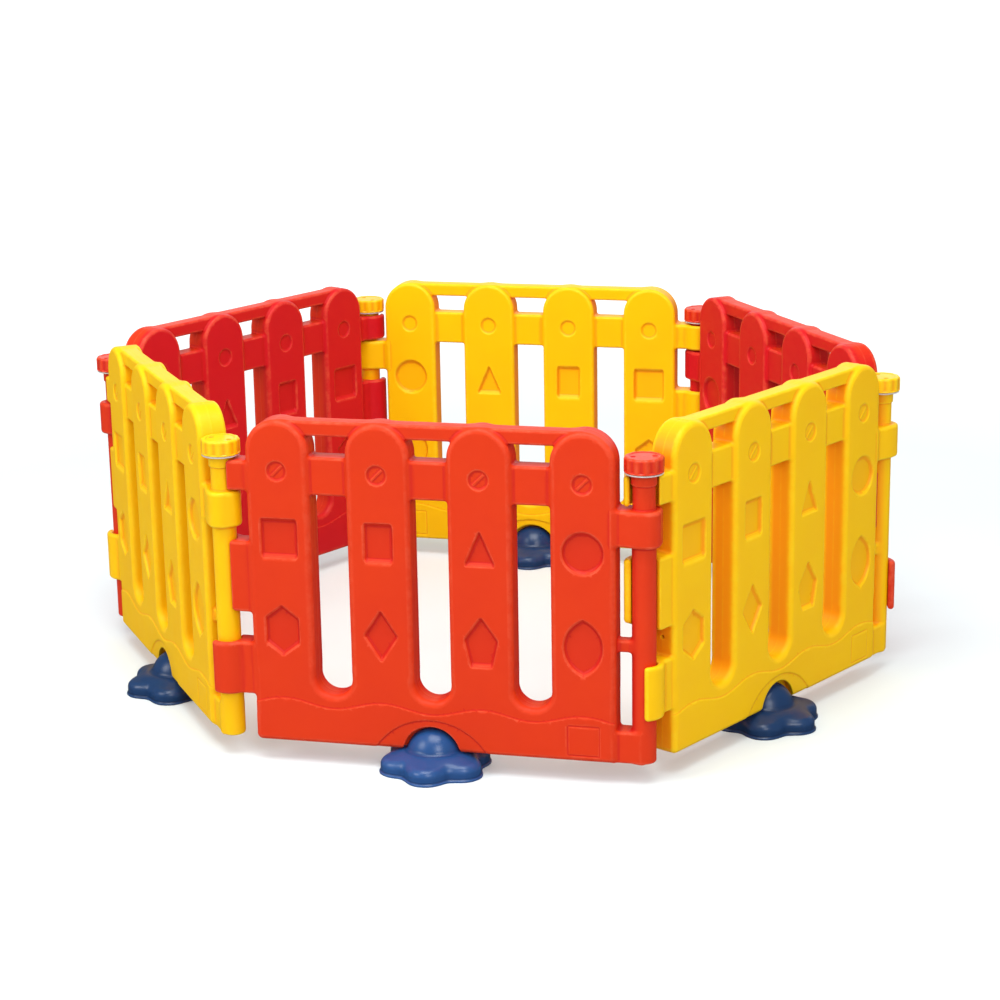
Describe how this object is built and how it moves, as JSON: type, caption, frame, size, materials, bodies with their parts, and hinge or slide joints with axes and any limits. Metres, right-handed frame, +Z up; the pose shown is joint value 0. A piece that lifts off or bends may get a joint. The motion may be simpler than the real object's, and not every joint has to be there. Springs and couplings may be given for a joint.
{
  "type": "playpen",
  "caption": "Freestanding ring of moulded picket-fence panels that hook onto each other's posts, fold at every corner and stand on press-on flower-shaped feet.",
  "frame": {"origin": "on the floor at the middle of the ring", "axes": "+Z up, -Y towards the front panel's outer face, +X along the front panel from its hooks to its post"},
  "size_m": [1.6646, 1.54, 0.652],
  "materials": {
    "red_plastic": "satin",
    "yellow_plastic": "satin",
    "blue_plastic": "semi-gloss",
    "white_plastic": "satin"
  },
  "bodies": {
    "front_panel": {"panel_front": "red_plastic", "washer_front": "white_plastic"},
    "front_right_panel": {"panel_front_right": "yellow_plastic", "washer_front_right": "white_plastic"},
    "back_right_panel": {"panel_back_right": "red_plastic", "washer_back_right": "white_plastic"},
    "back_panel": {"panel_back": "yellow_plastic", "washer_back": "white_plastic"},
    "back_left_panel": {"panel_back_left": "red_plastic", "washer_back_left": "white_plastic"},
    "front_left_panel": {"panel_front_left": "yellow_plastic", "washer_front_left": "white_plastic"},
    "front_cap": {"cap_front": "red_plastic"},
    "front_right_cap": {"cap_front_right": "yellow_plastic"},
    "back_right_cap": {"cap_back_right": "red_plastic"},
    "back_cap": {"cap_back": "yellow_plastic"},
    "back_left_cap": {"cap_back_left": "red_plastic"},
    "front_left_cap": {"cap_front_left": "yellow_plastic"},
    "front_foot": {"foot_front": "blue_plastic"},
    "front_right_foot": {"foot_front_right": "blue_plastic"},
    "back_right_foot": {"foot_back_right": "blue_plastic"},
    "back_foot": {"foot_back": "blue_plastic"},
    "back_left_foot": {"foot_back_left": "blue_plastic"},
    "front_left_foot": {"foot_front_left": "blue_plastic"}
  },
  "joints": [
    {"name": "fold_front_left", "type": "hinge", "parent": "front_panel", "child": "front_left_panel", "pos_m": [-0.33782, -0.66301, 0.04], "axis": [0, 0, 1], "range_deg": [-54, 54]},
    {"name": "fold_left", "type": "hinge", "parent": "front_left_panel", "child": "back_left_panel", "pos_m": [-0.79629, -0.03198, 0.04], "axis": [0, 0, 1], "range_deg": [-27, 27]},
    {"name": "fold_back_left", "type": "hinge", "parent": "back_left_panel", "child": "back_panel", "pos_m": [-0.44218, 0.66301, 0.04], "axis": [0, 0, 1], "range_deg": [-27, 27]},
    {"name": "fold_front_right", "type": "hinge", "parent": "front_panel", "child": "front_right_panel", "pos_m": [0.44218, -0.66301, 0.04], "axis": [0, 0, 1], "range_deg": [-27, 27]},
    {"name": "fold_right", "type": "hinge", "parent": "front_right_panel", "child": "back_right_panel", "pos_m": [0.79629, 0.03198, 0.04], "axis": [0, 0, 1], "range_deg": [-27, 27]},
    {"name": "unscrew_front_cap", "type": "hinge", "parent": "front_panel", "child": "front_cap", "pos_m": [0.44218, -0.66301, 0.597], "axis": [0, 0, 1], "range_deg": [0, 540]},
    {"name": "unscrew_front_right_cap", "type": "hinge", "parent": "front_right_panel", "child": "front_right_cap", "pos_m": [0.79629, 0.03198, 0.597], "axis": [0, 0, 1], "range_deg": [0, 540]},
    {"name": "unscrew_back_right_cap", "type": "hinge", "parent": "back_right_panel", "child": "back_right_cap", "pos_m": [0.33782, 0.66301, 0.597], "axis": [0, 0, 1], "range_deg": [0, 540]},
    {"name": "unscrew_back_cap", "type": "hinge", "parent": "back_panel", "child": "back_cap", "pos_m": [-0.44218, 0.66301, 0.597], "axis": [0, 0, 1], "range_deg": [0, 540]},
    {"name": "unscrew_back_left_cap", "type": "hinge", "parent": "back_left_panel", "child": "back_left_cap", "pos_m": [-0.79629, -0.03198, 0.597], "axis": [0, 0, 1], "range_deg": [0, 540]},
    {"name": "unscrew_front_left_cap", "type": "hinge", "parent": "front_left_panel", "child": "front_left_cap", "pos_m": [-0.33782, -0.66301, 0.597], "axis": [0, 0, 1], "range_deg": [0, 540]},
    {"name": "pull_off_front_foot", "type": "slide", "parent": "front_panel", "child": "front_foot", "axis": [0, 0, -1], "range_m": [0, 0.06]},
    {"name": "pull_off_front_right_foot", "type": "slide", "parent": "front_right_panel", "child": "front_right_foot", "axis": [0, 0, -1], "range_m": [0, 0.06]},
    {"name": "pull_off_back_right_foot", "type": "slide", "parent": "back_right_panel", "child": "back_right_foot", "axis": [0, 0, -1], "range_m": [0, 0.06]},
    {"name": "pull_off_back_foot", "type": "slide", "parent": "back_panel", "child": "back_foot", "axis": [0, 0, -1], "range_m": [0, 0.06]},
    {"name": "pull_off_back_left_foot", "type": "slide", "parent": "back_left_panel", "child": "back_left_foot", "axis": [0, 0, -1], "range_m": [0, 0.06]},
    {"name": "pull_off_front_left_foot", "type": "slide", "parent": "front_left_panel", "child": "front_left_foot", "axis": [0, 0, -1], "range_m": [0, 0.06]}
  ],
  "couplings": [
    {"joint": "fold_left", "follows": "fold_front_left", "ratio": -0.5},
    {"joint": "fold_back_left", "follows": "fold_front_left", "ratio": -0.5},
    {"joint": "fold_front_right", "follows": "fold_front_left", "ratio": 0.5},
    {"joint": "fold_right", "follows": "fold_front_left", "ratio": 0.5}
  ]
}
